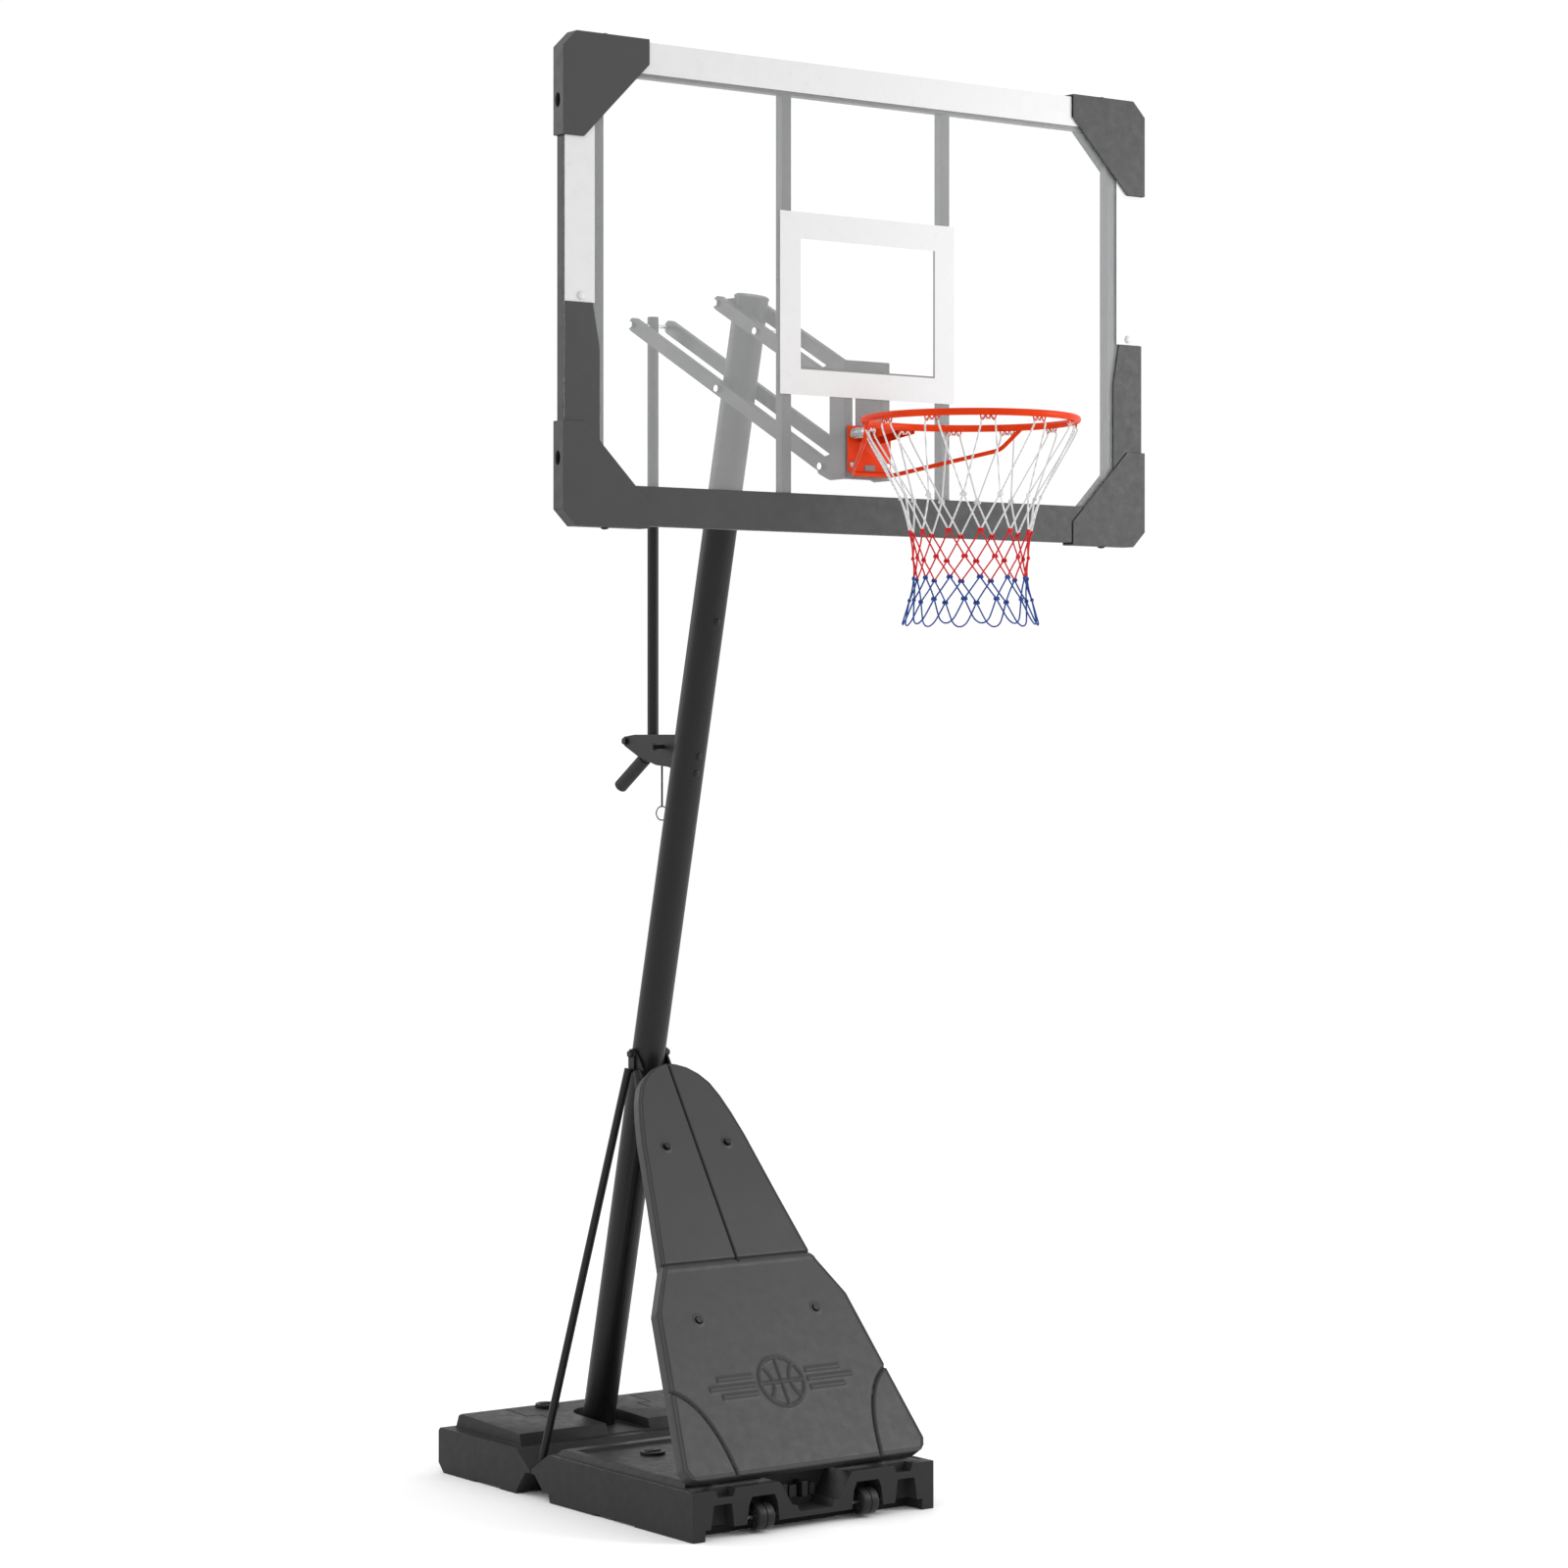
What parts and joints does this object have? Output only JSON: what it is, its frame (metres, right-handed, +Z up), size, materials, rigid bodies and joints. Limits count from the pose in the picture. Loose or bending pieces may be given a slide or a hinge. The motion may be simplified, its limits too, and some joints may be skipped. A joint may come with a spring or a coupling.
{
  "type": "portable basketball hoop",
  "caption": "Free-standing basketball hoop: ballast base on wheels, leaning pole, front shield, parallel lifting arms, clear backboard, sprung rim and net.",
  "frame": {"origin": "on the floor, on the plane of symmetry, midway between the rim's front and the base's rear", "axes": "+Z up, +X to the right of a player who faces the board, +Y from the player towards the base's rear"},
  "size_m": [1.68, 1.9134, 3.368],
  "materials": {
    "black_steel": "satin black powder coat",
    "black_hardware": "black oxide",
    "zinc_hardware": "bright zinc plate",
    "tank_plastic": "blow-moulded polyethylene, fine texture",
    "shield_plastic": "moulded polyethylene, fine texture",
    "guard_plastic": "moulded, fine texture",
    "black_plastic": "moulded",
    "grip_rubber": "soft foam grip",
    "clear_sheet": "clear polycarbonate sheet, polished",
    "rim_paint": "glossy orange-red powder coat",
    "net_cord": "braided cord in white, red and blue bands"
  },
  "bodies": {
    "stand": {"base_front_tank": "tank_plastic", "base_rear_tank": "tank_plastic", "wheel_axle_left": "zinc_hardware", "wheel_axle_right": "zinc_hardware", "pole_lower": "black_steel", "pole_middle": "black_steel", "pole_upper": "black_steel", "pole_cap": "black_plastic", "head_bracket": "black_steel", "lower_pivot_bolt": "zinc_hardware", "upper_pivot_bolt": "zinc_hardware", "guide_bracket": "black_steel", "guide_bolt": "black_hardware", "latch_pin": "black_hardware", "stay_left": "black_steel", "stay_right": "black_steel", "strut_left": "black_steel", "strut_right": "black_steel", "stay_bolt": "black_hardware", "shield": "shield_plastic", "shield_bolt_1": "black_hardware", "shield_bolt_2": "black_hardware", "shield_bolt_3": "black_hardware", "shield_bolt_4": "black_hardware"},
    "lower_arms": {"lower_arm_left": "black_steel", "lower_arm_right": "black_steel", "tail_bolt": "zinc_hardware", "lower_board_bolt": "zinc_hardware"},
    "upper_arms": {"upper_arm_left": "black_steel", "upper_arm_right": "black_steel", "upper_cross_bolt": "zinc_hardware"},
    "board": {"backboard_sheet": "clear_sheet", "frame_left": "black_steel", "frame_right": "black_steel", "frame_top": "black_steel", "frame_bottom": "black_steel", "frame_post_left": "black_steel", "frame_post_right": "black_steel", "edge_pad": "guard_plastic", "corner_guard_bottom_left": "guard_plastic", "corner_guard_bottom_right": "guard_plastic", "corner_guard_top_left": "guard_plastic", "corner_guard_top_right": "guard_plastic", "board_bracket": "black_steel", "upper_board_bolt": "zinc_hardware", "spring_bolt_left": "zinc_hardware", "spring_bolt_right": "zinc_hardware", "rim_spring_left": "zinc_hardware", "rim_spring_right": "zinc_hardware"},
    "rim": {"rim_ring": "rim_paint", "rim_mount": "rim_paint", "net": "net_cord"},
    "adjuster": {"adjusting_tube": "black_steel", "handle_grip": "grip_rubber"},
    "latch": {"latch_lever": "black_steel"},
    "pull": {"release_pull": "black_hardware"},
    "left_wheel": {"wheel_left": "black_plastic"},
    "right_wheel": {"wheel_right": "black_plastic"},
    "front_cap": {"front_fill_cap": "black_plastic"},
    "rear_cap": {"rear_fill_cap": "black_plastic"}
  },
  "joints": [
    {"name": "lift", "type": "hinge", "parent": "stand", "child": "lower_arms", "pos_m": [0, 0.15975, 2.667], "axis": [-1, 0, 0], "range_deg": [0, 67.5]},
    {"name": "upper_arm_pivot", "type": "hinge", "parent": "stand", "child": "upper_arms", "pos_m": [0, 0.16375, 2.871], "axis": [-1, 0, 0], "range_deg": [0, 67.5]},
    {"name": "board_pivot", "type": "hinge", "parent": "lower_arms", "child": "board", "pos_m": [0, -0.25263, 2.4587], "axis": [-1, 0, 0], "range_deg": [-67.5, 0]},
    {"name": "adjuster_pivot", "type": "hinge", "parent": "lower_arms", "child": "adjuster", "pos_m": [0, 0.52125, 2.84961], "axis": [-1, 0, 0], "range_deg": [-70.9, 0]},
    {"name": "rim_flex", "type": "hinge", "parent": "board", "child": "rim", "pos_m": [0, -0.34475, 2.442], "axis": [1, 0, 0], "range_deg": [0, 12], "stiffness_Nm_per_rad": 600, "springref_deg": -8.59, "deforming": ["rim_spring_left", "rim_spring_right"]},
    {"name": "latch_pivot", "type": "hinge", "parent": "stand", "child": "latch", "pos_m": [0, 0.44375, 1.813], "axis": [-1, 0, 0], "range_deg": [0, 12], "stiffness_Nm_per_rad": 0.6, "springref_deg": -8.59},
    {"name": "pull_pivot", "type": "hinge", "parent": "latch", "child": "pull", "pos_m": [0, 0.46575, 1.793], "axis": [-1, 0, 0], "range_deg": [-12, 0]},
    {"name": "left_wheel_spin", "type": "hinge", "parent": "stand", "child": "left_wheel", "pos_m": [-0.152, -0.13225, 0.039], "axis": [1, 0, 0], "continuous": true},
    {"name": "right_wheel_spin", "type": "hinge", "parent": "stand", "child": "right_wheel", "pos_m": [0.152, -0.13225, 0.039], "axis": [1, 0, 0], "continuous": true},
    {"name": "front_cap_turn", "type": "hinge", "parent": "stand", "child": "front_cap", "pos_m": [-0.15, 0.30575, 0.1225], "axis": [0, 0, 1], "range_deg": [0, 360]},
    {"name": "rear_cap_turn", "type": "hinge", "parent": "stand", "child": "rear_cap", "pos_m": [-0.078, 0.87775, 0.1519], "axis": [0, 0, 1], "range_deg": [0, 360]}
  ],
  "couplings": [
    {"joint": "upper_arm_pivot", "follows": "lift", "ratio": 1},
    {"joint": "board_pivot", "follows": "lift", "ratio": -1},
    {"joint": "adjuster_pivot", "follows": "lift", "ratio": -1.05},
    {"joint": "pull_pivot", "follows": "latch_pivot", "ratio": -1}
  ]
}
